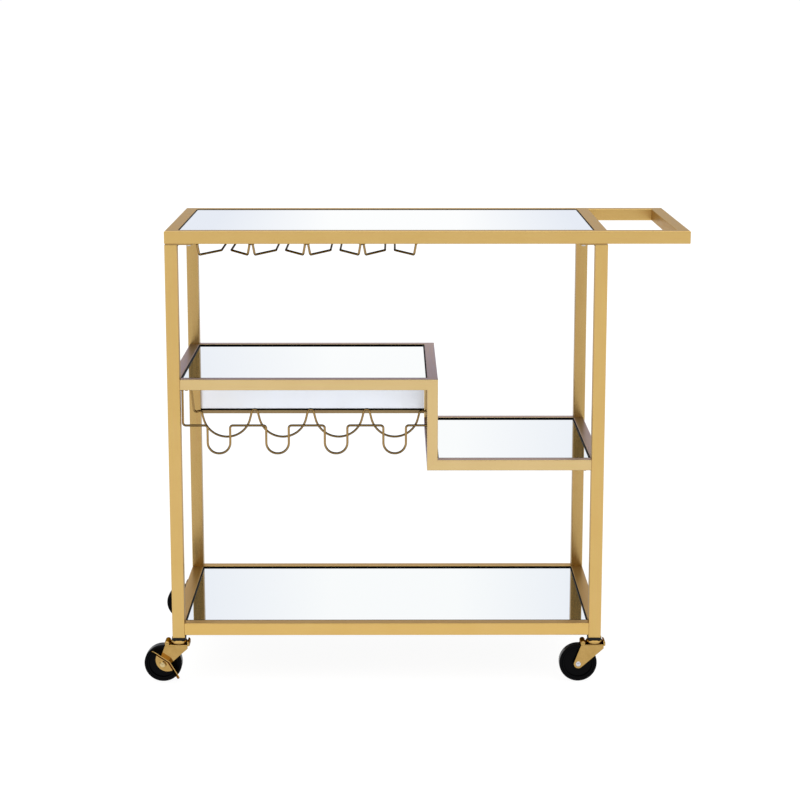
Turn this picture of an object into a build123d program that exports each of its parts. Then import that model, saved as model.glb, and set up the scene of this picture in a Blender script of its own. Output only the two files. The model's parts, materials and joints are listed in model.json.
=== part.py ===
"""Service cart: a square-tube frame with mirror shelves on two levels and a step between,
a bottle rack and a stemware rack of bent wire, and four swivel casters.

Millimetres. +X runs towards the handle, +Y from the front to the rear, +Z up from the floor.
"""
import os
from math import cos, radians, sin, tan

from build123d import *

# Overall frame
frame_length = 771.0        # over the posts, left face to right face
handle_reach = 143.0        # handle bar's far face beyond the right posts
frame_depth = 406.0         # over the posts, front face to rear face
cart_height = 816.0         # floor to the top of the top frame

# Tube stock
main_tube = 22.0            # posts, top frame and bottom frame
step_tube = 19.0            # stepped middle frame
tube_wall = 1.2
tube_corner = 1.5           # outer corner radius of both tubes

# Shelf levels, to the top of each shelf's rails
lower_shelf_level = 409.0
upper_shelf_level = 554.0
upper_shelf_length = 454.4  # left posts' inner face to the step leg's far face
post_toe = 5.0              # how far the posts reach below the bottom frame

# Mirrors and the ledges that carry them
mirror_thickness = 4.0
mirror_gap = 1.0            # between a mirror's edge and the tube beside it
top_mirror_recess = 1.0
shelf_mirror_recess = 2.5
ledge_width = 10.0
ledge_thickness = 2.0
ledge_root = 0.6            # how far a ledge is welded into the tube's wall

# Rear panel and the channel under it
panel_thickness = 4.0
panel_drop = 120.0          # upper rail's underside to the channel's lower face
panel_setback = 5.6         # panel behind the rear rail's centre line, clear of the screws
channel_height = 8.6
channel_floor = 3.0
channel_wall = 1.6
panel_play = 0.2            # between the panel and each wall of the channel
panel_end_gap = 0.5

# Tabs welded on the posts' tops, each screwed up into the top frame
tab_thickness = 2.0
tab_reach = 27.0            # beyond the post's inner face
tab_setback = 1.0           # edges set in from the post's faces
tab_screw_inset = 19.6      # from the post's inner face to the screw's axis
tab_screw_hole = 4.4
tab_pilot_hole = 3.3        # in the rail above the tab

# Joint tongues in the step rails' ends
tongue_length = 40.0
tongue_play = 0.1
screw_inset = 10.0          # from the post's face to the screw's axis
screw_shank = 3.5
screw_head = 6.4
screw_head_height = 2.2
screw_bite = 6.0            # shank length above the rail's underside
screw_play = 0.1

# Bottle rack
wire_diameter = 4.0
bottle_pitch = 103.8
first_bottle = 66.6         # left posts' inner face to the first bottle's axis
neck_rail_drop = 65.0       # upper rail's underside to the front wire's flats
neck_cradle_width = 40.0
neck_cradle_depth = 50.5
neck_cradle_flat = 1.0      # straight left at the bottom of each cradle
neck_bend = 5.0
neck_leg_inset = 3.5        # left posts' inner face to the front wire's left leg
last_flat = 15.0            # shortest flat left beside the step leg
rack_spacing = 177.5        # front wire to rear wire
body_drop = 122.9           # upper rail's underside to the lowest point of the rear wire
body_splay = 14.0           # lean of the rear wire's flanks, degrees
body_flank = 14.8           # straight length of each flank
body_peak_radius = 5.5
body_shoulder = 51.0        # outermost flank's end above the wire's lowest point
body_foot = 45.0            # end leg's foot above the wire's lowest point
body_foot_reach = 60.0      # outermost bottle's axis to the end leg's foot
body_bend = 5.0
body_leg_seat = 2.5         # end leg's top, in from the edge of the rail it meets

# Stemware rack
stem_pitch = 96.6
first_stem = 80.0           # left posts' inner face to the first slot's centre
stem_slot = 17.3            # between the two runs of one guide, centre to centre
stem_drop = 20.0            # top frame's underside to the guides
stem_flare = 67.0           # length of the flared mouth
leg_gap_top = 5.0           # between the legs of neighbouring guides, at the rail
leg_gap_bottom = 12.2       # and at the mouth's corners
stem_corner_bend = 4.0
stem_flare_bend = 12.0
stem_rear_bend = 6.0
stem_loop_bend = 5.0

# Casters
wheel_diameter = 68.0
wheel_width = 22.0
tread_round = 4.0
tyre_seam = 5.4             # tread to the groove where the tyre meets the rim
tyre_seam_depth = 0.5
rim_depth = 9.0             # tread to the inside of the rim
rim_round = 1.2
rim_dish = 3.5              # web set in from the rim, each side
hub_diameter = 19.0
hub_proud = 1.6             # hub's end beyond the rim, each side
hub_play = 0.4              # between the hub and each fork cheek
caster_trail = 29.0         # swivel axis to wheel axle
fork_plate = 2.5
fork_eye = 8.0              # radius of the fork's lower end
cheek_nose = 16.0           # cheeks' reach ahead of the swivel axis, at the crown
cheek_tail = 24.0           # and behind it
cheek_shoulder = 7.0        # height of the cheeks' upright front edge
crown_nose = 19.5           # crown's reach ahead of the swivel axis
crown_tail = 25.5           # and behind it
crown_rise = 6.5            # hump over the wheel and lip at the nose, above the cup's seat
crown_corner = 4.8          # plan radius of the crown's corners
crown_round = 4.3
crown_edge = 2.0            # rounding of the seat's edges
hump_room = 6.0             # gap above the wheel, under the hump
wheel_room = 2.0            # between the wheel and the fork round it
axle_diameter = 6.0
axle_head_diameter = 9.0
axle_head_height = 1.6
stem_diameter = 10.0
stem_length = 41.0          # from the cup's top up into the post
stem_head_diameter = 16.0
stem_head_height = 2.0
cup_diameter = 30.6
cup_top_diameter = 26.0
cup_race_diameter = 25.0    # thrust ring under the cup
cup_lift = 1.1              # cup's skirt above the thrust ring's face
cup_edge = 2.6
cup_round = 1.2
cup_height = 6.7
cup_room = 0.5              # between the cup and the crown's hump and lip
running_clearance = 0.05    # shaft in hole, on the radius
end_clearance = 0.3         # between faces that turn past each other
socket_cap = 8.7            # plug beyond the stem's tip
socket_lip = 1.5            # flange beyond the post's face, each side
socket_flange_height = 5.0
socket_flange_corner = 6.0
socket_play = 0.1

# Brake lever
lever_plate = 1.5
lever_eye = 9.0             # pivot to the plate's lower edge
lever_plate_half = 20.0     # plate's reach each side of the pivot
lever_boss_diameter = 14.0
lever_boss_top = 10.6
lever_boss_height = 1.2
lever_tread_depth = 10.0    # how far the foot treads stand out from the plate
lever_tread_flare = 30.0    # treads' upward slant from the plate, degrees
lever_tread_length = 35.0   # each tread, ridge to tip
lever_ridge = 9.5           # ridge of the treads above the pivot
lever_ridge_offset = 3.0    # ridge ahead of the pivot
lever_slope = 12.7          # each tread's fall from the ridge, degrees
lever_tilt = 46.6           # at rest, degrees, rear tread up
lever_tip_round = 5.0

# Places worked out from the sizes above
wheel_radius = wheel_diameter / 2
hub_length = wheel_width + 2 * hub_proud
fork_half = hub_length / 2 + hub_play + fork_plate
lever_reach = fork_half + end_clearance + lever_plate + lever_tread_depth
left_reach = caster_trail + wheel_radius - main_tube / 2
front_reach = lever_reach - main_tube / 2
rear_reach = fork_half + axle_head_height - main_tube / 2

left = (left_reach - frame_length - handle_reach) / 2
right = left + frame_length
handle_end = right + handle_reach
front = (front_reach - frame_depth - rear_reach) / 2
rear = front + frame_depth

left_inner = left + main_tube
right_inner = right - main_tube
front_inner = front + main_tube
rear_inner = rear - main_tube

crown_top = wheel_diameter + hump_room + fork_plate
cup_seat = crown_top - crown_rise
cup_bottom = cup_seat + end_clearance
cup_top = cup_bottom + cup_height
post_foot = cup_top + socket_flange_height

bottom_shelf_level = post_foot + post_toe + main_tube
top_underside = cart_height - main_tube
upper_underside = upper_shelf_level - step_tube
lower_underside = lower_shelf_level - step_tube
leg_right = left_inner + upper_shelf_length
leg_left = leg_right - step_tube
step_front_line = front_inner - step_tube / 2
step_rear_line = rear_inner + step_tube / 2
wire_radius = wire_diameter / 2
beyond = 4 * main_tube      # size of the blocks that trim tube ends and wire ends


def tube(size, start, end):
    """Square tube between two points on its centre line, along one of the axes."""
    run = Vector(*end) - Vector(*start)
    across = (1, 0, 0) if abs(run.X) < 1e-6 else (0, 1, 0)
    bore = size - 2 * tube_wall
    section = RectangleRounded(size, size, tube_corner) - Rectangle(bore, bore)
    return extrude(Plane(start, x_dir=across, z_dir=run.normalized()) * section, run.length)


def block(low, high):
    """Box between two opposite corners."""
    size = Vector(*high) - Vector(*low)
    middle = (Vector(*high) + Vector(*low)) / 2
    return Pos(*middle) * Box(size.X, size.Y, size.Z)


def mitre(piece, point, outward):
    """Cut a tube's end off at a sloping plane; outward points to the waste."""
    waste = Pos(0, 0, beyond / 2) * Box(beyond, beyond, beyond)
    return piece - Plane(point, z_dir=outward) * waste


def with_ledge(rail, low_x, high_x, inner_face, side, mirror_top):
    """Weld the strip that carries a mirror's long edge to a rail's inner face."""
    top = mirror_top - mirror_thickness
    root = inner_face - side * ledge_root
    edge = inner_face + side * ledge_width
    low = (low_x, min(root, edge), top - ledge_thickness)
    high = (high_x, max(root, edge), top)
    return rail + block(low, high)


def posts():
    """Four upright tubes, from above the casters to the tabs under the top frame."""
    head = top_underside - tab_thickness
    half = main_tube / 2 - tab_setback
    shapes = {}
    tabs = []
    for x_name, x, way, inner in (
        ("left", left + main_tube / 2, 1, left_inner),
        ("right", right - main_tube / 2, -1, right_inner),
    ):
        for y_name, y in (("front", front + main_tube / 2), ("rear", rear - main_tube / 2)):
            shapes[f"post_{y_name}_{x_name}"] = tube(main_tube, (x, y, post_foot), (x, y, head))
            outer_end = x - way * half
            inner_end = inner + way * tab_reach
            low = (min(outer_end, inner_end), y - half, head)
            high = (max(outer_end, inner_end), y + half, top_underside)
            hole = Pos(inner + way * tab_screw_inset, y, head) * Cylinder(tab_screw_hole / 2, beyond)
            tabs.append(block(low, high) - hole)
    shapes["post_top_tabs"] = Compound(tabs)
    return shapes


def top_frame():
    """Mitred outer frame, whose far end is the push handle, and the cross rail inside it."""
    z = cart_height - main_tube / 2
    front_line = front + main_tube / 2
    rear_line = rear - main_tube / 2
    mirror_top = cart_height - top_mirror_recess
    shapes = {}
    for name, y, side, inner in (("front", front_line, 1, front_inner), ("rear", rear_line, -1, rear_inner)):
        rail = tube(main_tube, (left, y, z), (handle_end, y, z))
        rail = mitre(rail, (left_inner, inner, z), (-1, side, 0))
        rail = mitre(rail, (handle_end - main_tube, inner, z), (1, side, 0))
        for x in (left_inner + tab_screw_inset, right_inner - tab_screw_inset):
            rail = rail - Pos(x, y, top_underside) * Cylinder(tab_pilot_hole / 2, main_tube)
        shapes[f"top_rail_{name}"] = with_ledge(rail, left_inner, right_inner, inner, side, mirror_top)
    for name, x, inner, side in (
        ("top_rail_left", left + main_tube / 2, left_inner, 1),
        ("handle_bar", handle_end - main_tube / 2, handle_end - main_tube, -1),
    ):
        rail = tube(main_tube, (x, front, z), (x, rear, z))
        rail = mitre(rail, (inner, front_inner, z), (side, -1, 0))
        shapes[name] = mitre(rail, (inner, rear_inner, z), (side, 1, 0))
    cross_line = right - main_tube / 2
    shapes["top_cross_rail"] = tube(main_tube, (cross_line, front_inner, z), (cross_line, rear_inner, z))
    return shapes


def step_side(y, inner, side, name):
    """One long side of the stepped frame: upper rail, leg and lower rail, mitred at the step."""
    upper_z = upper_shelf_level - step_tube / 2
    lower_z = lower_shelf_level - step_tube / 2
    leg_line = leg_right - step_tube / 2
    hole = Cylinder(screw_shank / 2 + screw_play, beyond)

    upper = tube(step_tube, (left_inner, y, upper_z), (leg_right, y, upper_z))
    upper = mitre(upper, (leg_left, y, upper_underside), (1, 0, -1))
    upper = upper - Pos(left_inner + screw_inset, y, upper_underside - beyond / 2 + tube_wall) * hole
    upper = with_ledge(upper, left_inner, leg_left, inner, side, upper_shelf_level - shelf_mirror_recess)

    leg = tube(step_tube, (leg_line, y, lower_underside), (leg_line, y, upper_shelf_level))
    leg = mitre(leg, (leg_left, y, upper_underside), (-1, 0, 1))
    leg = mitre(leg, (leg_right, y, lower_shelf_level), (1, 0, -1))

    lower = tube(step_tube, (leg_left, y, lower_z), (right_inner, y, lower_z))
    lower = mitre(lower, (leg_right, y, lower_shelf_level), (-1, 0, 1))
    lower = lower - Pos(right_inner - screw_inset, y, lower_underside - beyond / 2 + tube_wall) * hole
    lower = with_ledge(lower, leg_right, right_inner, inner, side, lower_shelf_level - shelf_mirror_recess)
    return {
        f"step_upper_rail_{name}": upper,
        f"step_leg_{name}": leg,
        f"step_lower_rail_{name}": lower,
    }


def step_frame():
    """Stepped middle frame, carried between the posts."""
    shapes = step_side(step_front_line, front_inner, 1, "front")
    shapes.update(step_side(step_rear_line, rear_inner, -1, "rear"))
    upper_z = upper_shelf_level - step_tube / 2
    lower_z = lower_shelf_level - step_tube / 2
    for name, x, z in (
        ("step_side_rail_left", left_inner - step_tube / 2, upper_z),
        ("step_side_rail_right", right_inner + step_tube / 2, lower_z),
        ("step_cross_bar_upper", leg_right - step_tube / 2, upper_z),
        ("step_cross_bar_lower", leg_right - step_tube / 2, lower_z),
    ):
        shapes[name] = tube(step_tube, (x, front_inner, z), (x, rear_inner, z))
    return shapes


def step_joints():
    """Tongues in the step rails' outer ends, each held by a pan-head screw from below."""
    width = step_tube - 2 * tube_wall - 2 * tongue_play
    bite = screw_bite + screw_play
    tongues = []
    screws = []
    for face, way, underside in ((left_inner, 1, upper_underside), (right_inner, -1, lower_underside)):
        for y in (step_front_line, step_rear_line):
            tongue = Pos(face + way * tongue_length / 2, y, underside + step_tube / 2)
            tongue = tongue * Box(tongue_length, width, width)
            screw_x = face + way * screw_inset
            tongues.append(tongue - Pos(screw_x, y, underside) * Cylinder(screw_shank / 2 + screw_play, 2 * bite))
            head = Pos(0, 0, -screw_head_height / 2) * Cylinder(screw_head / 2, screw_head_height)
            head = fillet(head.edges().group_by(Axis.Z)[0], screw_head_height / 2)
            shank = Pos(0, 0, screw_bite / 2) * Cylinder(screw_shank / 2, screw_bite)
            screws.append(Pos(screw_x, y, underside) * (head + shank))
    return {"step_rail_tongues": Compound(tongues), "step_rail_screws": Compound(screws)}


def bottom_frame():
    """Four tubes between the posts, flush with their outer faces."""
    z = bottom_shelf_level - main_tube / 2
    mirror_top = bottom_shelf_level - shelf_mirror_recess
    shapes = {}
    for name, y, side, inner in (
        ("front", front + main_tube / 2, 1, front_inner),
        ("rear", rear - main_tube / 2, -1, rear_inner),
    ):
        rail = tube(main_tube, (left_inner, y, z), (right_inner, y, z))
        shapes[f"bottom_rail_{name}"] = with_ledge(rail, left_inner, right_inner, inner, side, mirror_top)
    for name, x in (("left", left + main_tube / 2), ("right", right - main_tube / 2)):
        shapes[f"bottom_rail_{name}"] = tube(main_tube, (x, front_inner, z), (x, rear_inner, z))
    return shapes


def mirrors():
    """A mirror panel in each shelf, lying on the ledges."""
    shapes = {}
    for name, low_x, high_x, top in (
        ("top_mirror", left_inner, right_inner, cart_height - top_mirror_recess),
        ("upper_mirror", left_inner, leg_left, upper_shelf_level - shelf_mirror_recess),
        ("lower_mirror", leg_right, right_inner, lower_shelf_level - shelf_mirror_recess),
        ("bottom_mirror", left_inner, right_inner, bottom_shelf_level - shelf_mirror_recess),
    ):
        low = (low_x + mirror_gap, front_inner + mirror_gap, top - mirror_thickness)
        high = (high_x - mirror_gap, rear_inner - mirror_gap, top)
        shapes[name] = block(low, high)
    return shapes


def rear_panel():
    """Upright panel behind the bottles, standing in a channel and held under the rear rail."""
    y = step_rear_line + panel_setback
    channel_bottom = upper_underside - panel_drop
    channel_half = panel_thickness / 2 + panel_play + channel_wall
    groove_half = channel_half - channel_wall
    seat = channel_bottom + channel_floor
    channel_low = (left_inner, y - channel_half, channel_bottom)
    channel = block(channel_low, (leg_left, y + channel_half, channel_bottom + channel_height))
    groove_high = (leg_left, y + groove_half, channel_bottom + channel_height)
    channel = channel - block((left_inner, y - groove_half, seat), groove_high)
    panel_low = (left_inner + panel_end_gap, y - panel_thickness / 2, seat)
    panel_high = (leg_left - panel_end_gap, y + panel_thickness / 2, upper_underside)
    return {"rear_panel": block(panel_low, panel_high), "rear_channel": channel}


def bent_wire(path):
    """Round wire swept along a bent path."""
    return sweep(Plane(path @ 0, z_dir=path % 0) * Circle(wire_radius), path=path)


def cut_above(piece, z):
    """Trim the wire ends that stand above a level."""
    return piece - Pos(0, 0, z + beyond / 2) * Box(2 * frame_length, 2 * frame_depth, beyond)


def bottle_axes():
    """X of each bottle that fits between the left posts and the step leg."""
    room = leg_left - left_inner - first_bottle - neck_cradle_width / 2 - last_flat
    count = int(room // bottle_pitch) + 1
    return [left_inner + first_bottle + i * bottle_pitch for i in range(count)]


def neck_wire():
    """Front wire: one narrow cradle for each bottle's neck, hung from the front rail."""
    y = step_front_line
    flat = upper_underside - neck_rail_drop
    bottom = flat - neck_cradle_depth
    half = neck_cradle_width / 2
    round_bend = half - neck_cradle_flat / 2
    leg = left_inner + neck_leg_inset
    points = [(leg, y, upper_underside), (leg, y, flat)]
    bends = [neck_bend]
    for x in bottle_axes():
        points += [(x - half, y, flat), (x - half, y, bottom), (x + half, y, bottom), (x + half, y, flat)]
        bends += [neck_bend, round_bend, round_bend, neck_bend]
    points.append((leg_left, y, flat))
    return bent_wire(FilletPolyline(*points, radius=bends))


def body_wire():
    """Rear wire: a wave with a round dip under each bottle's body, hung from the side rails."""
    y = step_front_line + rack_spacing
    low = upper_underside - body_drop
    lean = radians(body_splay)
    dip_radius = (bottle_pitch / 2 - body_flank * sin(lean)) / cos(lean) - body_peak_radius
    dip_corner = low - dip_radius * (1 / sin(lean) - 1)
    peak_corner = dip_corner + bottle_pitch / 2 / tan(lean)
    shoulder = low + body_shoulder
    shoulder_reach = (shoulder - dip_corner) * tan(lean)
    axes = bottle_axes()

    def end_leg(way, axis, seat):
        """Leg from its rail, turned in at the foot to the shoulder of the outermost dip."""
        top = Vector(seat, y, upper_underside)
        foot = Vector(axis - way * body_foot_reach, y, low + body_foot)
        top += (top - foot).normalized() * wire_diameter
        return [top, foot, (axis - way * shoulder_reach, y, shoulder)]

    points = end_leg(1, axes[0], left_inner - body_leg_seat)
    bends = [body_bend, body_bend]
    for x in axes:
        points += [(x, y, dip_corner), (x + bottle_pitch / 2, y, peak_corner)]
        bends += [dip_radius, body_peak_radius]
    points = points[:-1] + end_leg(-1, axes[-1], leg_left + body_leg_seat)[::-1]
    bends = bends[:-1] + [body_bend, body_bend]
    return cut_above(bent_wire(FilletPolyline(*points, radius=bends)), upper_underside)


def stem_guides():
    """One bent wire for each slot: flared mouth, two runs, and a closed loop at the rear rail."""
    room = upper_shelf_length - first_stem - (stem_pitch - leg_gap_bottom) / 2
    count = int(room // stem_pitch) + 1
    run = stem_slot / 2
    corner = (stem_pitch - leg_gap_bottom) / 2
    foot = (stem_pitch - leg_gap_top) / 2
    mouth_y = front + main_tube / 2
    rear_y = rear - main_tube / 2
    low = top_underside - stem_drop
    loop = top_underside - wire_radius
    spare = wire_diameter / stem_drop
    half = [
        (foot + spare * (foot - corner), mouth_y, top_underside + wire_diameter),
        (corner, mouth_y, low),
        (run, mouth_y + stem_flare, low),
        (run, rear_y, low),
        (run, rear_y, loop),
    ]
    bends = [stem_corner_bend, stem_flare_bend, stem_rear_bend, stem_loop_bend]
    shapes = {}
    for i in range(count):
        x = left_inner + first_stem + i * stem_pitch
        outline = [(x - dx, y, z) for dx, y, z in half]
        outline += [(x + dx, y, z) for dx, y, z in reversed(half)]
        path = FilletPolyline(*outline, radius=bends + bends[::-1])
        shapes[f"stem_guide_{i + 1}"] = cut_above(bent_wire(path), top_underside)
    return shapes


def wheel():
    """Moulded wheel about the Y axis: hub, dished web, rounded tread and the tyre's seam."""
    half = wheel_width / 2
    web = half - rim_dish
    hub = hub_length / 2
    rim = wheel_radius - rim_depth
    seam = wheel_radius - tyre_seam
    bore = axle_diameter / 2 + running_clearance
    inner_side = [(bore, hub), (hub_diameter / 2, hub), (hub_diameter / 2, web), (rim, web), (rim, half)]
    groove = [(seam - tyre_seam_depth, half), (seam, half - tyre_seam_depth), (seam + tyre_seam_depth, half)]
    side = inner_side + groove + [(wheel_radius, half)]
    outline = side + [(r, -w) for r, w in reversed(side)]
    profile = make_face(Polyline(*outline, close=True))
    profile = fillet(profile.vertices().group_by(Axis.X)[-1], tread_round)
    rim_corners = [v for v in profile.vertices() if abs(v.X - rim) < 1e-6 and abs(abs(v.Y) - half) < 1e-6]
    return revolve(fillet(rim_corners, rim_round), Axis.Y)


def fork():
    """Pressed fork about the swivel axis: two tapered cheeks, and a crown with a seat for the bearing cup
    between a hump over the wheel and a lip at the nose."""
    eye = Pos(-caster_trail, wheel_radius) * Circle(fork_eye)
    shoulder = Polyline(
        (-cheek_tail, cup_seat),
        (cheek_nose, cup_seat),
        (cheek_nose, cup_seat - cheek_shoulder),
    )
    cheek = make_hull(eye.edges() + shoulder.edges())
    shell = extrude(Plane.XZ * cheek, fork_half, both=True)
    shell = fillet(shell.faces().sort_by(Axis.Z)[-1].edges(), crown_edge)

    def crown_lobe(tail, nose):
        """Rounded block on the cheeks, between two distances from the swivel axis."""
        plan = Pos((tail + nose) / 2, 0) * RectangleRounded(nose - tail, 2 * fork_half, crown_corner)
        lobe = extrude(Pos(0, 0, cup_seat - fork_plate) * plan, fork_plate + crown_rise)
        return fillet(lobe.faces().sort_by(Axis.Z)[-1].edges(), crown_round)

    seat = cup_diameter / 2 + cup_room
    lip = crown_lobe(-crown_nose, crown_nose) - block((-beyond, -beyond, 0), (seat, beyond, crown_top))
    shell = shell + crown_lobe(-crown_tail, -seat) + lip

    inside = fork_half - fork_plate
    shell = shell - block((-beyond, -inside, 0), (beyond, inside, cup_seat - fork_plate))
    hollow_low = (-crown_tail + fork_plate, -inside, 0)
    shell = shell - block(hollow_low, (-seat - fork_plate, inside, crown_top - fork_plate))
    axle_line = Pos(-caster_trail, 0, wheel_radius) * Rot(90, 0, 0)
    shell = shell - axle_line * Cylinder(wheel_radius + wheel_room, 2 * inside)
    shell = shell - axle_line * Cylinder(axle_diameter / 2 + running_clearance, 4 * fork_half)
    return shell - Cylinder(stem_diameter / 2 + running_clearance, 4 * cup_seat)


def swivel_stem():
    """Stem with its bearing cup and thrust ring, headed over under the fork's crown."""
    shank = stem_diameter / 2
    head_top = cup_seat - fork_plate - end_clearance
    head_bottom = head_top - stem_head_height
    skirt = cup_bottom + cup_lift
    tip = cup_top + stem_length
    outline = [
        (0, head_bottom),
        (stem_head_diameter / 2, head_bottom),
        (stem_head_diameter / 2, head_top),
        (shank, head_top),
        (shank, cup_bottom),
        (cup_race_diameter / 2, cup_bottom),
        (cup_race_diameter / 2, skirt),
        (cup_diameter / 2, skirt),
        (cup_diameter / 2, skirt + cup_edge),
        (cup_top_diameter / 2, cup_top),
        (shank, cup_top),
        (shank, tip),
        (0, tip),
    ]
    profile = make_face(Polyline(*outline, close=True))
    profile = fillet(profile.vertices().group_by(Axis.X)[-1], cup_round)
    return revolve(Plane.XZ * profile, Axis.Z)


def socket():
    """Plastic socket: a plug in the post's foot, with a flange under the post and a bore for the stem."""
    width = main_tube - 2 * tube_wall - 2 * socket_play
    lip = main_tube + 2 * socket_lip
    bore = stem_length + end_clearance
    plug_length = bore - socket_flange_height + socket_cap
    plug = extrude(Pos(0, 0, post_foot) * Rectangle(width, width), plug_length)
    flange = RectangleRounded(lip, lip, socket_flange_corner)
    flange = extrude(Pos(0, 0, cup_top) * flange, socket_flange_height)
    hole = Pos(0, 0, cup_top + bore / 2) * Cylinder(stem_diameter / 2 + running_clearance, bore)
    return plug + flange - hole


def axle(front_extra):
    """Axle rivet along Y, domed outside both cheeks; front_extra makes room for a brake lever."""
    radius = axle_diameter / 2
    head = axle_head_diameter / 2
    dome = (head ** 2 + axle_head_height ** 2) / (2 * axle_head_height)
    front_face = -fork_half - front_extra
    line = Polyline(
        (0, fork_half + axle_head_height),
        (0, front_face - axle_head_height),
    )
    front_dome = RadiusArc(line @ 1, (head, front_face), -dome)
    shank = Polyline((head, front_face), (radius, front_face), (radius, fork_half), (head, fork_half))
    rear_dome = RadiusArc(shank @ 1, line @ 0, -dome)
    return revolve(make_face(line.edges() + front_dome.edges() + shank.edges() + rear_dome.edges()), Axis.Y)


def brake_lever():
    """Rocking brake lever about the Y axis: a plate with a bossed eye and two foot treads."""

    def tread_point(reach):
        """Point on the treads' top line, a sideways reach from the ridge."""
        return (lever_ridge_offset + reach, lever_ridge - abs(reach) * tan(radians(lever_slope)))

    ridge_line = [tread_point(reach) for reach in (-lever_tread_length, 0, lever_tread_length)]
    plate_rear = tread_point(-lever_plate_half - lever_ridge_offset)
    plate_front = tread_point(lever_plate_half - lever_ridge_offset)
    under_line = [(x, z - lever_plate) for x, z in reversed(ridge_line)]
    back = -fork_half - end_clearance
    plate_top = Polyline(plate_rear, ridge_line[1], plate_front)
    plate_belly = ThreePointArc(plate_front, (0, -lever_eye), plate_rear)
    plate = extrude(Plane.XZ * make_face(plate_top.edges() + plate_belly.edges()), lever_plate)
    boss = Cone(lever_boss_diameter / 2, lever_boss_top / 2, lever_boss_height)
    boss = Pos(0, -lever_plate - lever_boss_height / 2, 0) * Rot(90, 0, 0) * boss
    treads = make_face(Polyline(*ridge_line, *under_line, close=True))
    flare = radians(lever_tread_flare)
    reach = lever_plate + lever_tread_depth
    treads = extrude(Plane.XZ * treads, reach / cos(flare), dir=(0, -cos(flare), sin(flare)))
    plan = RectangleRounded(2 * lever_tread_length, 2 * reach, lever_tip_round)
    treads = treads & extrude(Pos(lever_ridge_offset, 0) * plan, beyond, both=True)
    hole = Rot(90, 0, 0) * Cylinder(axle_diameter / 2 + running_clearance, 4 * fork_half)
    return Rot(0, lever_tilt, 0) * (Pos(0, back, 0) * (plate + boss + treads) - hole)


def casters():
    """Socket, stem, fork, axle and wheel under each post, and a brake on the left pair."""
    shapes = {}
    for x_name, x in (("left", left + main_tube / 2), ("right", right - main_tube / 2)):
        for y_name, y in (("front", front + main_tube / 2), ("rear", rear - main_tube / 2)):
            corner = f"{y_name}_{x_name}"
            braked = x_name == "left"
            foot = Pos(x, y, 0)
            hub = Pos(x - caster_trail, y, wheel_radius)
            shapes[f"socket_{corner}"] = foot * socket()
            shapes[f"swivel_stem_{corner}"] = foot * swivel_stem()
            shapes[f"fork_{corner}"] = foot * fork()
            lever_room = lever_plate + lever_boss_height + 2 * end_clearance if braked else 0
            shapes[f"axle_{corner}"] = hub * axle(lever_room)
            shapes[f"wheel_{corner}"] = hub * wheel()
            if braked:
                shapes[f"brake_lever_{corner}"] = hub * brake_lever()
    return shapes


def cart():
    """Every piece of the cart by name."""
    shapes = {}
    for group in (posts, top_frame, step_frame, step_joints, bottom_frame, mirrors, rear_panel):
        shapes.update(group())
    shapes["bottle_neck_wire"] = neck_wire()
    shapes["bottle_body_wire"] = body_wire()
    shapes.update(stem_guides())
    shapes.update(casters())
    return shapes


os.makedirs("parts", exist_ok=True)
for node, shape in cart().items():
    export_step(shape, f"parts/{node}.step")
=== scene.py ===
import json
from math import radians

import bpy
from mathutils import Matrix, Vector


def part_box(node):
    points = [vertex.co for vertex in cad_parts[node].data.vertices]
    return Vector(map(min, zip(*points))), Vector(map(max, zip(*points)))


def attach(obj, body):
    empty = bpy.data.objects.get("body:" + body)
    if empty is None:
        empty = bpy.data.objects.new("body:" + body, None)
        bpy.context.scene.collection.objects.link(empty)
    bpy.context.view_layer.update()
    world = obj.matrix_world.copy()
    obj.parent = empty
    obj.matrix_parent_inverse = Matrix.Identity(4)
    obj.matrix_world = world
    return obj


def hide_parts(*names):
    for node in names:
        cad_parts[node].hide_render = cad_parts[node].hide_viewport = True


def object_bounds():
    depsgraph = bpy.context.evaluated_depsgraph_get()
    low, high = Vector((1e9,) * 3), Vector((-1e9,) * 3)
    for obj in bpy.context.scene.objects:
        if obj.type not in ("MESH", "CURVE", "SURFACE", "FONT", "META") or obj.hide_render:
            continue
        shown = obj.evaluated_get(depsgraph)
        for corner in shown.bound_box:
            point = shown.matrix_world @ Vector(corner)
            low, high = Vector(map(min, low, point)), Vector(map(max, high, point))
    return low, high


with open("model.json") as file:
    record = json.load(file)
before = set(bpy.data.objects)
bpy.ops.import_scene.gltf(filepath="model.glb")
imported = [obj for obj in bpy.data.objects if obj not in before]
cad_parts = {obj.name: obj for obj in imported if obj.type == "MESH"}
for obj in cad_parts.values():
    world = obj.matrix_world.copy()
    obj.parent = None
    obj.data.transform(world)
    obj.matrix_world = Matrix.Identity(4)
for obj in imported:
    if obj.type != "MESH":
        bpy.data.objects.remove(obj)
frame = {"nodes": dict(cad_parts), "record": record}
cad_low, cad_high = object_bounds()

mm = 0.001                      # the frame is in metres
nodes = frame["nodes"]
slots = {part["node"]: part["material_slot"] for part in frame["record"]["subparts"]}

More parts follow.
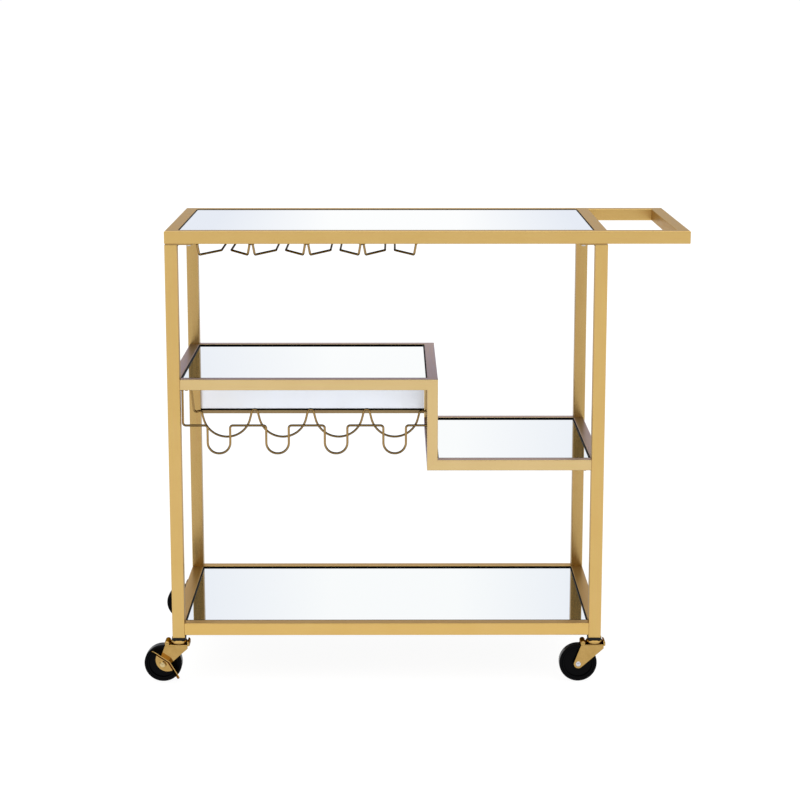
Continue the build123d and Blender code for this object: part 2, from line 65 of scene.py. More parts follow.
# Trim sizes
pane_arris = 0.5 * mm           # ground corner of a mirror's edge
bead_reach = 0.95 * mm          # glazing bead's reach beyond the mirror, to the tube
bead_lap = 1.2 * mm             # and its overlap on the glass
bead_heights = {
    "top_mirror": 0.8 * mm,
    "upper_mirror": 2.3 * mm,
    "lower_mirror": 2.3 * mm,
    "bottom_mirror": 2.3 * mm,
}
bead_round = 0.5 * mm
bead_round_steps = 3
rub_gap = 0.02 * mm             # between a rubber strip and what it lies on
gasket_wall = 0.6 * mm
gasket_drop = 2.4 * mm          # how far the gasket hangs over the channel's front
gasket_round = 0.2 * mm
gasket_round_steps = 2
wire_radius = 2.0 * mm          # bottle wires and stem guides
tab_screw_inset = 19.6 * mm     # from the post's inner face to the screw's axis
tab_screw_head = (8.0 * mm, 2.8 * mm)       # diameter and height
tab_screw_shank = (3.2 * mm, 8.0 * mm)      # diameter and length
step_screw_inset = 10.0 * mm    # from the post's inner face to the screw's axis
step_screw_head = (7.0 * mm, 3.4 * mm)
step_screw_shank = (3.5 * mm, 4.0 * mm)
recess_width = 0.9 * mm         # slots of a screw's cross recess
recess_share = 0.55             # their length, as a share of the head's diameter
recess_depth = 1.1 * mm
screw_sides = 32
head_round_share = 0.7          # rounding of a screw's head, as a share of its height
head_round_steps = 5
trim_crease = radians(40)       # sharper edges of rubber trim stay sharp
screw_crease = radians(35)      # and those of screws
square_on = 0.9                 # part of a face's normal along an axis, past which it faces that way

# Weld sizes along X, Y and Z
weld_sizes = {
    "stem_guide_pair_welds": Vector((12.5, 7, 6)) * mm,
    "stem_guide_end_welds": Vector((6.5, 7, 5)) * mm,
    "stem_guide_rear_welds": Vector((14, 8, 4)) * mm,
    "bottle_wire_welds": Vector((6.5, 6.5, 5)) * mm,
    "tab_welds": Vector((3.2, 18, 3.4)) * mm,
    "bottom_rail_welds": Vector((3.2, 18, 4.4)) * mm,
}
corner_offset = 0.6 * mm        # from an inside corner to the middle of its weld
weld_lumpiness = 0.12           # random moves of a weld's surface, for a ball of diameter 1
weld_softening = 0.5            # share of those that each smoothing takes off
weld_softenings = 2

# Roughness ranges of the brushed tubes
satin = (0.28, 0.38)
half_gloss = (0.16, 0.25)       # rear posts

# Most of a noise's values lie between these
noise_low = 0.3
noise_high = 0.7

# Light levels
backdrop_level = 1.02       # middle of the backdrop behind the cart
backdrop_side_level = 0.95  # rest of the backdrop
ceiling_level = 1.5
camera_side_level = 0.08    # dark room round the camera
room_side_level = 0.30      # rest of the room in front of the cart
floor_glow = 0.93           # light that comes up through the floor
floor_size = 60             # metres

# Fades between the studio's surfaces, from a start to an end.
# They run along a direction's X (sideways), Y (to the back) or Z (up).
glow_fade = (0.03, 0.12)    # X: out of the bright middle of the backdrop
low_glow_end = 0.08         # X: end of that fade low on the backdrop
low_glow_fade = (0.10, 0.15)        # Z: from that end to the other
foot_fade = (0.03, 0.08)    # Z: up from the bright foot of the backdrop
backdrop_fade = (0.5, 0.85)         # Z: from the backdrop to the ceiling
skirt_fade = (0.105, 0.13)  # Z: up from the white foot of the room in front
dark_fade = (0.16, 0.35)    # X: from the dark round the camera to the room's sides
camera_side_rise = 0.28     # Z: where the room begins to brighten, round the camera
room_side_rise = 0.15       # and at its sides
room_top = 0.7              # Z: where the room meets the ceiling
turn_fade = (-0.25, 0.35)   # Y: from the room in front to the backdrop
tint_fade = (0.3, 0.5)      # Z: up from the cold tint of the backdrop


# Materials

def linear(code):
    """Linear colour of an sRGB hex code."""
    parts = [int(code[i:i + 2], 16) / 255 for i in (1, 3, 5)]
    return [p / 12.92 if p <= 0.04045 else ((p + 0.055) / 1.055) ** 2.4 for p in parts] + [1.0]


def add(tree, kind, inputs=None, **settings):
    """Add a node to a tree; an input is a value, or a socket to link from."""
    made = tree.nodes.new(kind)
    for name, value in settings.items():
        setattr(made, name, value)
    for name, value in (inputs or {}).items():
        if isinstance(value, bpy.types.NodeSocket):
            tree.links.new(value, made.inputs[name])
        else:
            made.inputs[name].default_value = value
    return made


def blank(name):
    """Empty material, with its tree and the socket of the object's own coordinates."""
    made = bpy.data.materials.new(name)
    made.use_nodes = True
    made.node_tree.nodes.clear()
    place = add(made.node_tree, "ShaderNodeTexCoord").outputs["Object"]
    return made, made.node_tree, place


def brushed_brass_plate(name, axis, low, high, edge, sheen=satin):
    """Steel tube, brushed lengthwise, brass plated and lacquered: a warm gold with faint long streaks."""
    # Its tone lies between low and high, and edge is its tint at a grazing angle.
    made, tree, place = blank(name + "_" + "xyz"[axis])
    # Real brush lines are finer than 0.1 mm; these are drawn 1.2 mm wide so that they show.
    streak_width = 1.2 * mm
    streak_length = 90 * mm
    cloud = 45 * mm
    stretch = [1 / streak_width] * 3
    stretch[axis] = 1 / streak_length
    along = add(tree, "ShaderNodeMapping", {"Vector": place, "Scale": stretch})
    streak = add(tree, "ShaderNodeTexNoise", {"Vector": along.outputs["Vector"], "Scale": 1.0, "Detail": 3.0})
    mottle = add(tree, "ShaderNodeTexNoise", {"Vector": place, "Scale": 1 / cloud, "Detail": 2.0})
    tone = add(tree, "ShaderNodeMix", {0: mottle.outputs["Fac"], 6: linear(low), 7: linear(high)},
               data_type="RGBA")
    grain = add(tree, "ShaderNodeMix", {0: 0.12, 6: tone.outputs[2], 7: streak.outputs["Color"]},
                data_type="RGBA", blend_type="SOFT_LIGHT")
    gloss = add(tree, "ShaderNodeMapRange", {
        0: streak.outputs["Fac"], 1: noise_low, 2: noise_high, 3: sheen[0], 4: sheen[1]})
    relief = add(tree, "ShaderNodeBump",
                 {"Height": streak.outputs["Fac"], "Strength": 0.10, "Distance": 0.05 * mm})
    shader = add(tree, "ShaderNodeBsdfPrincipled", {
        "Base Color": grain.outputs[2], "Metallic": 1.0, "Roughness": gloss.outputs["Result"],
        "Specular Tint": linear(edge), "Normal": relief.outputs["Normal"]})
    add(tree, "ShaderNodeOutputMaterial", {"Surface": shader.outputs["BSDF"]})
    return made


def brass_plated_wire():
    """Drawn steel wire, brass plated: bright on its sides, with painted shade darkening its upper and lower
    faces to brown.
    """
    made, tree, place = blank("brass_plated_wire")
    patch = 9 * mm
    painted_shade_start = 0.1               # part of a face's normal along Z where the painted shade begins
    painted_shade_full = 0.45
    cloud = add(tree, "ShaderNodeTexNoise", {"Vector": place, "Scale": 1 / patch, "Detail": 3.0})
    tone = add(tree, "ShaderNodeMix", {0: cloud.outputs["Fac"], 6: linear("#93774a"), 7: linear("#ab8d5c")},
               data_type="RGBA")
    facing = add(tree, "ShaderNodeSeparateXYZ", {0: place.node.outputs["Normal"]})
    flat = add(tree, "ShaderNodeMath", {0: facing.outputs["Z"]}, operation="ABSOLUTE")
    # Painted shade: faces turned up or down are mixed towards dark brown, standing in for the dark
    # surroundings they reflect.
    painted_shade = add(tree, "ShaderNodeMapRange", {
        0: flat.outputs[0], 1: painted_shade_start, 2: painted_shade_full, 3: 0.0, 4: 1.0})
    plating_and_painted_shade = add(tree, "ShaderNodeMix", {0: painted_shade.outputs[0], 6: tone.outputs[2], 7: linear("#3f311c")},
                  data_type="RGBA")
    gloss = add(tree, "ShaderNodeMapRange", {
        0: cloud.outputs["Fac"], 1: noise_low, 2: noise_high, 3: 0.08, 4: 0.15})
    shader = add(tree, "ShaderNodeBsdfPrincipled", {
        "Base Color": plating_and_painted_shade.outputs[2], "Metallic": 1.0, "Roughness": gloss.outputs["Result"],
        "Specular Tint": linear("#5e4f3c")})
    add(tree, "ShaderNodeOutputMaterial", {"Surface": shader.outputs["BSDF"]})
    return made


def weld_metal():
    """Weld bead under brass plating: lumpy and dull, and browner than the wire."""
    made, tree, place = blank("plated_weld")
    lump = 1.5 * mm
    lumps = add(tree, "ShaderNodeTexNoise", {"Vector": place, "Scale": 1 / lump, "Detail": 3.0})
    tone = add(tree, "ShaderNodeMix", {0: lumps.outputs["Fac"], 6: linear("#4a3520"), 7: linear("#6e5330")},
               data_type="RGBA")
    relief = add(tree, "ShaderNodeBump",
                 {"Height": lumps.outputs["Fac"], "Strength": 0.4, "Distance": 0.3 * mm})
    shader = add(tree, "ShaderNodeBsdfPrincipled", {
        "Base Color": tone.outputs[2], "Metallic": 1.0, "Roughness": 0.4, "Normal": relief.outputs["Normal"]})
    add(tree, "ShaderNodeOutputMaterial", {"Surface": shader.outputs["BSDF"]})
    return made


def polished_brass_plate():
    """Pressed steel, polished and brass plated: bright, with fine rub marks from tumbling."""
    made, tree, place = blank("polished_brass_plate")
    rub = 0.8 * mm
    cloud = 12 * mm
    marks = add(tree, "ShaderNodeTexNoise", {"Vector": place, "Scale": 1 / rub, "Detail": 4.0})
    mottle = add(tree, "ShaderNodeTexNoise", {"Vector": place, "Scale": 1 / cloud, "Detail": 2.0})
    tone = add(tree, "ShaderNodeMix", {0: mottle.outputs["Fac"], 6: linear("#a68549"), 7: linear("#c3a163")},
               data_type="RGBA")
    gloss = add(tree, "ShaderNodeMapRange", {
        0: marks.outputs["Fac"], 1: noise_low, 2: noise_high, 3: 0.07, 4: 0.15})
    relief = add(tree, "ShaderNodeBump",
                 {"Height": marks.outputs["Fac"], "Strength": 0.06, "Distance": 0.05 * mm})
    shader = add(tree, "ShaderNodeBsdfPrincipled", {
        "Base Color": tone.outputs[2], "Metallic": 1.0, "Roughness": gloss.outputs["Result"],
        "Specular Tint": linear("#8a7350"), "Normal": relief.outputs["Normal"]})
    add(tree, "ShaderNodeOutputMaterial", {"Surface": shader.outputs["BSDF"]})
    return made


def silvered_glass():
    """Float glass silvered on the back: a clear reflection with a cold tint and a slow waviness."""
    made, tree, place = blank("silvered_glass")
    wave = 160 * mm
    smear = 30 * mm
    rolling = add(tree, "ShaderNodeTexNoise", {"Vector": place, "Scale": 1 / wave, "Detail": 1.0})
    wiped = add(tree, "ShaderNodeTexNoise", {"Vector": place, "Scale": 1 / smear, "Detail": 4.0})
    gloss = add(tree, "ShaderNodeMapRange", {0: wiped.outputs["Fac"], 1: 0.4, 2: 0.8, 3: 0.0, 4: 0.04})
    relief = add(tree, "ShaderNodeBump",
                 {"Height": rolling.outputs["Fac"], "Strength": 0.2, "Distance": 0.02 * mm})
    shader = add(tree, "ShaderNodeBsdfPrincipled", {
        "Base Color": linear("#f4f7f8"), "Metallic": 1.0, "Roughness": gloss.outputs["Result"],
        "Normal": relief.outputs["Normal"]})
    add(tree, "ShaderNodeOutputMaterial", {"Surface": shader.outputs["BSDF"]})
    return made


def seamed_glass_edge():
    """Ground edge of float glass: matt and faintly green."""
    made, tree, place = blank("seamed_glass_edge")
    grit = 0.5 * mm
    ground = add(tree, "ShaderNodeTexNoise", {"Vector": place, "Scale": 1 / grit, "Detail": 3.0})
    tone = add(tree, "ShaderNodeMix", {0: ground.outputs["Fac"], 6: linear("#6f8a80"), 7: linear("#9db5aa")},
               data_type="RGBA")
    shader = add(tree, "ShaderNodeBsdfPrincipled", {
        "Base Color": tone.outputs[2], "Roughness": 0.45, "IOR": 1.52})
    add(tree, "ShaderNodeOutputMaterial", {"Surface": shader.outputs["BSDF"]})
    return made


def mirror_back_paint():
    """Protective paint on a mirror's back: dark grey, rolled on, with a slight orange peel."""
    made, tree, place = blank("mirror_back_paint")
    peel = 2.5 * mm
    rolled = add(tree, "ShaderNodeTexNoise", {"Vector": place, "Scale": 1 / peel, "Detail": 2.0})
    tone = add(tree, "ShaderNodeMix", {0: rolled.outputs["Fac"], 6: linear("#2c2d2e"), 7: linear("#37393a")},
               data_type="RGBA")
    relief = add(tree, "ShaderNodeBump",
                 {"Height": rolled.outputs["Fac"], "Strength": 0.2, "Distance": 0.1 * mm})
    shader = add(tree, "ShaderNodeBsdfPrincipled", {
        "Base Color": tone.outputs[2], "Roughness": 0.55, "Normal": relief.outputs["Normal"]})
    add(tree, "ShaderNodeOutputMaterial", {"Surface": shader.outputs["BSDF"]})
    return made


def etched_silvered_glass():
    """Acid-etched mirror glass: a pale cold sheen with no clear image in it."""
    made, tree, place = blank("etched_silvered_glass")
    bloom = 25 * mm
    cloud = add(tree, "ShaderNodeTexNoise", {"Vector": place, "Scale": 1 / bloom, "Detail": 3.0})
    tone = add(tree, "ShaderNodeMix", {0: cloud.outputs["Fac"], 6: linear("#eff4ff"), 7: linear("#f5f9ff")},
               data_type="RGBA")
    gloss = add(tree, "ShaderNodeMapRange", {
        0: cloud.outputs["Fac"], 1: noise_low, 2: noise_high, 3: 0.29, 4: 0.34})
    shader = add(tree, "ShaderNodeBsdfPrincipled", {
        "Base Color": tone.outputs[2], "Metallic": 1.0, "Roughness": gloss.outputs["Result"]})
    add(tree, "ShaderNodeOutputMaterial", {"Surface": shader.outputs["BSDF"]})
    return made


def moulded_black(name, code, gloss_low, gloss_high, grain, shine):
    """Moulded black plastic or rubber: deep black, with a gloss that varies over the moulded grain."""
    made, tree, place = blank(name)
    fine = add(tree, "ShaderNodeTexNoise", {"Vector": place, "Scale": 1 / grain, "Detail": 3.0})
    tone = add(tree, "ShaderNodeMix", {0: fine.outputs["Fac"], 6: linear("#020203"), 7: linear(code)},
               data_type="RGBA")
    gloss = add(tree, "ShaderNodeMapRange", {
        0: fine.outputs["Fac"], 1: noise_low, 2: noise_high, 3: gloss_low, 4: gloss_high})
    relief = add(tree, "ShaderNodeBump",
                 {"Height": fine.outputs["Fac"], "Strength": 0.08, "Distance": 0.05 * mm})
    shader = add(tree, "ShaderNodeBsdfPrincipled", {
        "Base Color": tone.outputs[2], "Roughness": gloss.outputs["Result"], "Specular IOR Level": shine,
        "Normal": relief.outputs["Normal"]})
    add(tree, "ShaderNodeOutputMaterial", {"Surface": shader.outputs["BSDF"]})
    return made


def steel(name, low, high, gloss_low, gloss_high):
    """Plain or plated steel: smooth, with fine scuffs."""
    made, tree, place = blank(name)
    scuff = 0.6 * mm
    marks = add(tree, "ShaderNodeTexNoise", {"Vector": place, "Scale": 1 / scuff, "Detail": 4.0})
    tone = add(tree, "ShaderNodeMix", {0: marks.outputs["Fac"], 6: linear(low), 7: linear(high)},
               data_type="RGBA")
    gloss = add(tree, "ShaderNodeMapRange", {
        0: marks.outputs["Fac"], 1: noise_low, 2: noise_high, 3: gloss_low, 4: gloss_high})
    shader = add(tree, "ShaderNodeBsdfPrincipled", {
        "Base Color": tone.outputs[2], "Metallic": 1.0, "Roughness": gloss.outputs["Result"]})
    add(tree, "ShaderNodeOutputMaterial", {"Surface": shader.outputs["BSDF"]})
    return made


def brass_set(name, low, high, edge, sheen=satin):
    """The same plate, brushed along X, along Y and along Z."""
    return [brushed_brass_plate(name, axis, low, high, edge, sheen) for axis in range(3)]


frame_gold = brass_set("brushed_brass_plate", "#d0ad69", "#d5b371", "#c2b8b0")
# Painted shade: a darker copy of the frame's plate, given to the rear posts so that they read as shaded by
# the shelves.
shaded_rear_gold = brass_set("shaded_rear_brass_plate", "#b79960", "#bd9f68", "#c2b8b0", half_gloss)
# Painted shade: a copy of the plate with a cold edge tint, so that the bottom rails' tops come out grey as if
# shaded from above.
shaded_shelf_gold = brass_set("shaded_shelf_brass_plate", "#d6b168", "#dbb771", "#a2a2bc")
# Painted light and shade: a paler copy of the plate with a cold edge tint, so that the step frame reads
# lighter and its tops, shaded by the top shelf, come out grey.
shaded_step_gold = brass_set("pale_brass_plate", "#d4b881", "#dabe88", "#a2a8dc")
weld_bronze = weld_metal()
mirror_silver = silvered_glass()
mirror_edge = seamed_glass_edge()
mirror_back = mirror_back_paint()
bead_black = moulded_black("black_rubber_bead", "#0a0a0a", 0.5, 0.65, 1.0 * mm, 0.03)
finishes = {
    "gold_wire": brass_plated_wire(),
    "mirror_glass": mirror_silver,
    "frosted_glass": etched_silvered_glass(),
    "black_socket": moulded_black("black_polypropylene", "#0c0c0d", 0.3, 0.45, 0.8 * mm, 0.2),
    "black_wheel": moulded_black("black_nylon", "#050508", 0.16, 0.26, 1.5 * mm, 0.05),
    "bright_rivet": steel("zinc_plated_steel", "#b9bac0", "#dcdde2", 0.12, 0.25),
    "gold_caster": polished_brass_plate(),
    "bare_steel": steel("bare_steel", "#7d7d80", "#97979a", 0.3, 0.45),
}
finishes["dark_screw"] = finishes["gold_caster"]
# Painted shade: the tabs take the wire's darker brass, with its painted shade, so that their edges read as
# shaded under the top rails.
finishes["post_top_tabs"] = finishes["gold_wire"]
finishes["axle_front_left"] = steel("brass_plated_rivet", "#bfa878", "#d8c596", 0.12, 0.25)
finishes["axle_rear_left"] = finishes["axle_front_left"]
# Painted shade: a darker copy of the plate for the channel, standing in for the shade and dark reflections at
# the foot of the rear panel.
finishes["rear_channel"] = brushed_brass_plate("shaded_channel_brass_plate", 0, "#8f7a58", "#9a8462", "#a2a8dc")


def dress(node):
    """Give a CAD node its finish; a tube's grain runs along its length."""
    material = finishes.get(node) or finishes.get(slots[node])
    if material is None:
        low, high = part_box(node)
        size = high - low
        gold = frame_gold
        # Painted shade: the rear posts, bottom rails and step frame take shaded copies of the same plate.
        if node.startswith("post_rear"):
            gold = shaded_rear_gold
        if node.startswith("bottom_rail"):
            gold = shaded_shelf_gold
        if node.startswith("step"):
            gold = shaded_step_gold
        material = gold[max(range(3), key=lambda axis: size[axis])]
    nodes[node].data.materials.clear()
    nodes[node].data.materials.append(material)


for node in nodes:
    dress(node)


# Mirrors

def block(low, high):
    """Box between two corners, with its place in its mesh, selected and active."""
    bpy.ops.object.select_all(action="DESELECT")
    bpy.ops.mesh.primitive_cube_add(size=1, location=(low + high) / 2)
    made = bpy.context.object
    made.scale = high - low
    bpy.ops.object.transform_apply(location=True, rotation=True, scale=True)
    return made


def mirror_pane(node):
    """Mirror sheet with ground corners: silvered face, seamed edge and painted back."""
    low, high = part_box(node)
    pane = block(low, high)
    pane.name = node.replace("mirror", "pane")
    bpy.ops.object.mode_set(mode="EDIT")
    bpy.ops.mesh.select_all(action="SELECT")
    bpy.ops.mesh.bevel(offset=pane_arris, segments=1)
    bpy.ops.object.mode_set(mode="OBJECT")
    for material in (mirror_silver, mirror_edge, mirror_back):
        pane.data.materials.append(material)
    for face in pane.data.polygons:
        face.material_index = 1
        if face.normal.z > square_on:
            face.material_index = 0
        if face.normal.z < -square_on:
            face.material_index = 2
    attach(pane, "cart_frame")
    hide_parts(node)


def fit(piece, material):
    """Give a piece of the frame its finish and let it ride on the frame."""
    piece.data.materials.clear()
    piece.data.materials.append(material)
    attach(piece, "cart_frame")


def glazing_bead(node):
    """Rubber bead round a mirror: it covers the gap beside the tubes and laps over the glass."""
    low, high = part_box(node)
    middle = (low + high) / 2
    bpy.ops.object.select_all(action="DESELECT")
    bpy.ops.mesh.primitive_plane_add(size=1, location=(middle.x, middle.y, high.z + rub_gap))
    bead = bpy.context.object
    bead.name = node.replace("mirror", "bead")
    bead.scale = (high.x - low.x + 2 * bead_reach, high.y - low.y + 2 * bead_reach, 1)
    bpy.ops.object.transform_apply(location=True, rotation=True, scale=True)
    bpy.ops.object.mode_set(mode="EDIT")
    bpy.ops.mesh.select_all(action="SELECT")
    bpy.ops.mesh.inset(thickness=bead_reach + bead_lap)
    bpy.ops.mesh.delete(type="FACE")
    bpy.ops.mesh.select_all(action="SELECT")
    bpy.ops.mesh.extrude_region_move(TRANSFORM_OT_translate={"value": (0, 0, bead_heights[node])})
    bpy.ops.mesh.region_to_loop()
    bpy.ops.mesh.bevel(offset=bead_round, segments=bead_round_steps)
    bpy.ops.mesh.select_all(action="SELECT")
    bpy.ops.mesh.normals_make_consistent(inside=False)
    bpy.ops.object.mode_set(mode="OBJECT")
    bpy.ops.object.shade_smooth_by_angle(angle=trim_crease)
    fit(bead, bead_black)


for node in bead_heights:
    mirror_pane(node)
    glazing_bead(node)


# Rear panel's gasket

def channel_gasket():
    """Rubber strip over the front lip of the channel, up to the panel's face."""
    low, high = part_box("rear_channel")
    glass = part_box("rear_panel")[0].y - rub_gap
    face = low.y - rub_gap
    lip = high.z + rub_gap
    strip = block(Vector((low.x, face - gasket_wall, high.z - gasket_drop)),
                  Vector((high.x, face, lip + gasket_wall)))
    strip.name = "channel_gasket"
    bpy.ops.object.mode_set(mode="EDIT")
    bpy.ops.mesh.select_all(action="SELECT")
    bpy.ops.mesh.bisect(plane_co=(0, 0, lip), plane_no=(0, 0, 1))
    bpy.ops.mesh.select_all(action="DESELECT")
    bpy.ops.object.mode_set(mode="OBJECT")
    for side in strip.data.polygons:
        side.select = side.normal.y > square_on and side.center.z > lip
    bpy.ops.object.mode_set(mode="EDIT")
    bpy.ops.mesh.extrude_region_move(TRANSFORM_OT_translate={"value": (0, glass - face, 0)})
    bpy.ops.mesh.select_all(action="SELECT")
    bpy.ops.mesh.bevel(offset=gasket_round, segments=gasket_round_steps)
    bpy.ops.object.mode_set(mode="OBJECT")
    bpy.ops.object.shade_smooth_by_angle(angle=trim_crease)
    fit(strip, bead_black)


channel_gasket()


# Screws

def pan_head_screw(head, shank):
    """Pan-head screw with a cross recess, standing head down with the seat of its head at the origin."""
    diameter, height = head
    shank_diameter, shank_length = shank
    bpy.ops.object.select_all(action="DESELECT")
    bpy.ops.mesh.primitive_cylinder_add(vertices=screw_sides, radius=diameter / 2, depth=height,
                                        location=(0, 0, -height / 2))
    screw = bpy.context.object
    bpy.ops.object.transform_apply(location=True, rotation=True, scale=True)
    bpy.ops.object.mode_set(mode="EDIT")
    bpy.ops.mesh.select_all(action="DESELECT")
    bpy.ops.object.mode_set(mode="OBJECT")
    for side in screw.data.polygons:
        side.select = side.normal.z > square_on
    bpy.ops.object.mode_set(mode="EDIT")
    bpy.ops.mesh.inset(thickness=(diameter - shank_diameter) / 2)
    bpy.ops.mesh.extrude_region_move(TRANSFORM_OT_translate={"value": (0, 0, shank_length)})
    bpy.ops.mesh.select_all(action="DESELECT")
    bpy.ops.object.mode_set(mode="OBJECT")
    for side in screw.data.polygons:
        side.select = side.normal.z < -square_on and side.center.z < -height / 2
    bpy.ops.object.mode_set(mode="EDIT")
    bpy.ops.mesh.bevel(offset=head_round_share * height, segments=head_round_steps)
    bpy.ops.object.mode_set(mode="OBJECT")
    reach = recess_share * diameter / 2
    half = recess_width / 2
    for across in (Vector((reach, half, 0)), Vector((half, reach, 0))):
        floor = Vector((0, 0, recess_depth - height))
        cutter = block(floor - across - Vector((0, 0, 2 * height)), floor + across)
        carve = screw.modifiers.new("recess", "BOOLEAN")
        carve.operation = "DIFFERENCE"
        carve.object = cutter
        bpy.context.view_layer.objects.active = screw
        bpy.ops.object.modifier_apply(modifier=carve.name)
        bpy.data.objects.remove(cutter)
    bpy.ops.object.select_all(action="DESELECT")
    screw.select_set(True)
    bpy.ops.object.shade_smooth_by_angle(angle=screw_crease)
    return screw


def joined(name, pieces):
    """One piece of several, each with its place in its mesh."""
    bpy.ops.object.select_all(action="DESELECT")
    for piece in pieces:
        piece.select_set(True)
    bpy.context.view_layer.objects.active = pieces[0]
    bpy.ops.object.join()
    pieces[0].name = name
    return pieces[0]


def screw_set(name, head, shank, places):
    """Copies of one screw, at the seats of their heads."""
    pattern = pan_head_screw(head, shank)
    copies = []
    for place in places:
        screw = pattern.copy()
        screw.data = pattern.data.copy()
        screw.data.transform(Matrix.Translation(place))
        bpy.context.scene.collection.objects.link(screw)
        copies.append(screw)
    bpy.data.objects.remove(pattern)
    return joined(name, copies)


def corner_posts():
    """Each post's inner face, its middle along Y, its top, and +1 or -1 for the way in along X."""
    for side, way in (("left", 1), ("right", -1)):
        for depth in ("front", "rear"):
            low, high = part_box(f"post_{depth}_{side}")
            inner = high.x if way > 0 else low.x
            yield inner, (low.y + high.y) / 2, high.z, way


def fit_tab_screws():
    """A screw up through each post's tab into the top frame."""
    seats = []
    for inner, middle, top, way in corner_posts():
        seats.append(Vector((inner + way * tab_screw_inset, middle, top)))
    tab_screws = screw_set("tab_screws", tab_screw_head, tab_screw_shank, seats)
    fit(tab_screws, finishes["bright_rivet"])


def fit_step_screws():
    """A screw from below into each end of the step frame that meets a post."""
    seats = []
    for depth in ("front", "rear"):
        low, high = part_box(f"step_upper_rail_{depth}")
        seats.append(Vector((low.x + step_screw_inset, (low.y + high.y) / 2, low.z)))
        low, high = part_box(f"step_lower_rail_{depth}")
        seats.append(Vector((high.x - step_screw_inset, (low.y + high.y) / 2, low.z)))
    step_screws = screw_set("step_pan_screws", step_screw_head, step_screw_shank, seats)
    fit(step_screws, finishes["dark_screw"])
    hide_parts("step_rail_screws")


fit_tab_screws()
fit_step_screws()


# Welds

def weld(place, size, seed):
    """Lump of weld metal, drawn out along its joint."""
    bpy.ops.object.select_all(action="DESELECT")
    bpy.ops.mesh.primitive_ico_sphere_add(subdivisions=3, radius=0.5)
    lump = bpy.context.object
    bpy.ops.object.mode_set(mode="EDIT")
    bpy.ops.mesh.select_all(action="SELECT")
    bpy.ops.transform.vertex_random(offset=weld_lumpiness, uniform=1.0, normal=1.0, seed=seed)
    bpy.ops.mesh.vertices_smooth(factor=weld_softening, repeat=weld_softenings)
    bpy.ops.object.mode_set(mode="OBJECT")
    lump.scale = size
    lump.location = place
    bpy.ops.object.transform_apply(location=True, rotation=True, scale=True)
    bpy.ops.object.shade_smooth()
    return lump


def weld_set(name, places):
    """One weld at each place, no two alike."""
    lumps = [weld(place, weld_sizes[name], seed) for seed, place in enumerate(places)]
    fit(joined(name, lumps), weld_bronze)


def stem_guide_welds():
    """Welds under the top rails: at the guides' mouths, in pairs and at both ends, and at their loops."""
    guides = [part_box(node) for node in sorted(nodes) if node.startswith("stem_guide")]
    mouth_line = guides[0][0].y + wire_radius
    loop_line = guides[0][1].y - wire_radius
    rail_under = guides[0][1].z
    pairs = [(guides[i][1].x + guides[i + 1][0].x) / 2 for i in range(len(guides) - 1)]
    ends = [guides[0][0].x + wire_radius, guides[-1][1].x - wire_radius]
    loops = [(low.x + high.x) / 2 for low, high in guides]
    weld_set("stem_guide_pair_welds", [(x, mouth_line, rail_under) for x in pairs])
    weld_set("stem_guide_end_welds", [(x, mouth_line, rail_under) for x in ends])
    weld_set("stem_guide_rear_welds", [(x, loop_line, rail_under) for x in loops])


def bottle_wire_welds():
    """Welds at the bottle wires' upper ends, under the step frame's rails."""
    neck_low, neck_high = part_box("bottle_neck_wire")
    body_low, body_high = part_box("bottle_body_wire")
    neck_line = (neck_low.y + neck_high.y) / 2
    body_line = (body_low.y + body_high.y) / 2
    ends = [
        (neck_low.x + wire_radius, neck_line, neck_high.z),
        (body_low.x + wire_radius, body_line, body_high.z),
        (body_high.x - wire_radius, body_line, body_high.z),
    ]
    weld_set("bottle_wire_welds", ends)


def post_welds():
    """Welds across the posts' inner faces, under the tabs and under the bottom rails."""
    rail_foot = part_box("bottom_rail_front")[0].z
    tab_joints = []
    rail_joints = []
    for inner, middle, top, way in corner_posts():
        tab_joints.append((inner + way * corner_offset, middle, top - corner_offset))
        rail_joints.append((inner + way * corner_offset, middle, rail_foot - corner_offset))
    weld_set("tab_welds", tab_joints)
    weld_set("bottom_rail_welds", rail_joints)


stem_guide_welds()
bottle_wire_welds()
post_welds()


# Studio

def studio_floor():
    """White acrylic table, lit from under it, so that shadows stay faint."""
    made, tree, place = blank("lit_white_acrylic")
    drift = 400 * mm
    cloud = add(tree, "ShaderNodeTexNoise", {"Vector": place, "Scale": 1 / drift, "Detail": 2.0})
    tone = add(tree, "ShaderNodeMix", {0: cloud.outputs["Fac"], 6: linear("#525252"), 7: linear("#565656")},
               data_type="RGBA")
    shader = add(tree, "ShaderNodeBsdfPrincipled", {
        "Base Color": tone.outputs[2], "Roughness": 0.9, "Emission Color": linear("#ffffff"),
        "Emission Strength": floor_glow})
    add(tree, "ShaderNodeOutputMaterial", {"Surface": shader.outputs["BSDF"]})
    bpy.ops.object.select_all(action="DESELECT")
    bpy.ops.mesh.primitive_plane_add(size=floor_size, location=(0, 0, cad_low.z))
    floor = bpy.context.object
    floor.name = "floor"
    floor.data.materials.append(made)


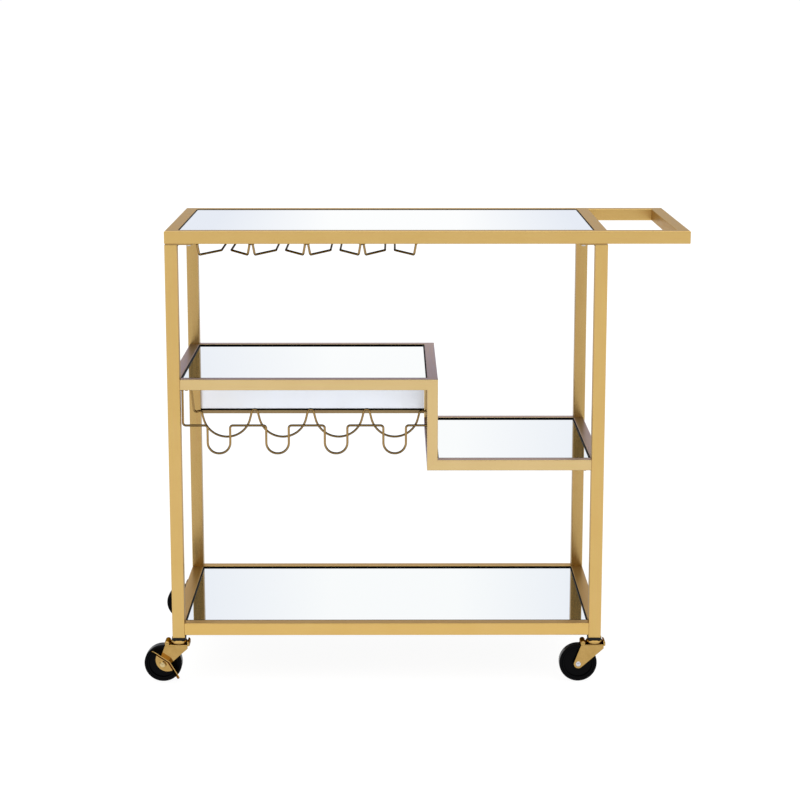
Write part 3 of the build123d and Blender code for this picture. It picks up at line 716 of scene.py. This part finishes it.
def studio_world():
    """White studio: a backdrop, a bright ceiling, and a room in front that is dark round the camera."""
    world = bpy.data.worlds.new("studio")
    bpy.context.scene.world = world
    world.use_nodes = True
    tree = world.node_tree
    tree.nodes.clear()
    way = add(tree, "ShaderNodeTexCoord").outputs["Generated"]
    part = add(tree, "ShaderNodeSeparateXYZ", {0: way})
    back = part.outputs["Y"]
    up = part.outputs["Z"]
    sideways = add(tree, "ShaderNodeMath", {0: part.outputs["X"]}, operation="ABSOLUTE").outputs[0]

    # Backdrop
    spread = add(tree, "ShaderNodeMapRange", {
        0: up, 1: low_glow_fade[0], 2: low_glow_fade[1], 3: low_glow_end, 4: glow_fade[1]})
    middle = add(tree, "ShaderNodeMapRange", {
        0: sideways, 1: glow_fade[0], 2: spread.outputs[0], 3: 1.0, 4: 0.0})
    foot = add(tree, "ShaderNodeMapRange", {0: up, 1: foot_fade[0], 2: foot_fade[1], 3: 1.0, 4: 0.0})
    bright = add(tree, "ShaderNodeMath", {0: middle.outputs[0], 1: foot.outputs[0]}, operation="MAXIMUM")
    sheet = add(tree, "ShaderNodeMapRange", {
        0: bright.outputs[0], 1: 0.0, 2: 1.0, 3: backdrop_side_level, 4: backdrop_level})
    backdrop = add(tree, "ShaderNodeMapRange", {
        0: up, 1: backdrop_fade[0], 2: backdrop_fade[1], 3: sheet.outputs[0], 4: ceiling_level})

    # Room in front
    skirt = add(tree, "ShaderNodeMapRange", {
        0: up, 1: skirt_fade[0], 2: skirt_fade[1], 3: backdrop_level, 4: 0.0})
    dim = add(tree, "ShaderNodeMapRange", {
        0: sideways, 1: dark_fade[0], 2: dark_fade[1], 3: camera_side_level, 4: room_side_level})
    rise = add(tree, "ShaderNodeMapRange", {
        0: sideways, 1: dark_fade[0], 2: dark_fade[1], 3: camera_side_rise, 4: room_side_rise})
    wall = add(tree, "ShaderNodeMapRange", {
        0: up, 1: rise.outputs[0], 2: room_top, 3: dim.outputs[0], 4: ceiling_level})
    room = add(tree, "ShaderNodeMath", {0: skirt.outputs[0], 1: wall.outputs[0]}, operation="MAXIMUM")

    # Both together, with a cold tint on the backdrop's sides
    behind = add(tree, "ShaderNodeMapRange", {0: back, 1: turn_fade[0], 2: turn_fade[1], 3: 0.0, 4: 1.0})
    strength = add(tree, "ShaderNodeMix", {0: behind.outputs[0], 2: room.outputs[0], 3: backdrop.outputs[0]})
    high = add(tree, "ShaderNodeMapRange", {0: up, 1: tint_fade[0], 2: tint_fade[1], 3: 0.0, 4: 1.0})
    ahead = add(tree, "ShaderNodeMath", {0: 1.0, 1: behind.outputs[0]}, operation="SUBTRACT")
    clear = add(tree, "ShaderNodeMath", {0: high.outputs[0], 1: ahead.outputs[0]}, operation="MAXIMUM")
    white = add(tree, "ShaderNodeMath", {0: bright.outputs[0], 1: clear.outputs[0]}, operation="MAXIMUM")
    tint = add(tree, "ShaderNodeMix", {0: white.outputs[0], 6: linear("#f0f4fd"), 7: linear("#ffffff")},
               data_type="RGBA")
    light = add(tree, "ShaderNodeBackground", {"Color": tint.outputs[2], "Strength": strength.outputs[0]})
    add(tree, "ShaderNodeOutputWorld", {"Surface": light.outputs["Background"]})


studio_floor()
studio_world()

# Camera
camera_place = Vector((-0.031, -3.8039, 1.2185))        # metres
camera_pitch = 10.99            # degrees below the horizon
camera_yaw = 0.15               # degrees to the right
camera_lens = 93.89             # millimetres on a 36 mm sensor
lens = bpy.data.cameras.new("camera")
lens.lens = camera_lens
camera = bpy.data.objects.new("camera", lens)
camera.location = camera_place
camera.rotation_euler = (radians(90 - camera_pitch), 0, radians(-camera_yaw))
bpy.context.scene.collection.objects.link(camera)
bpy.context.scene.camera = camera
bpy.context.scene.view_settings.view_transform = "Standard"
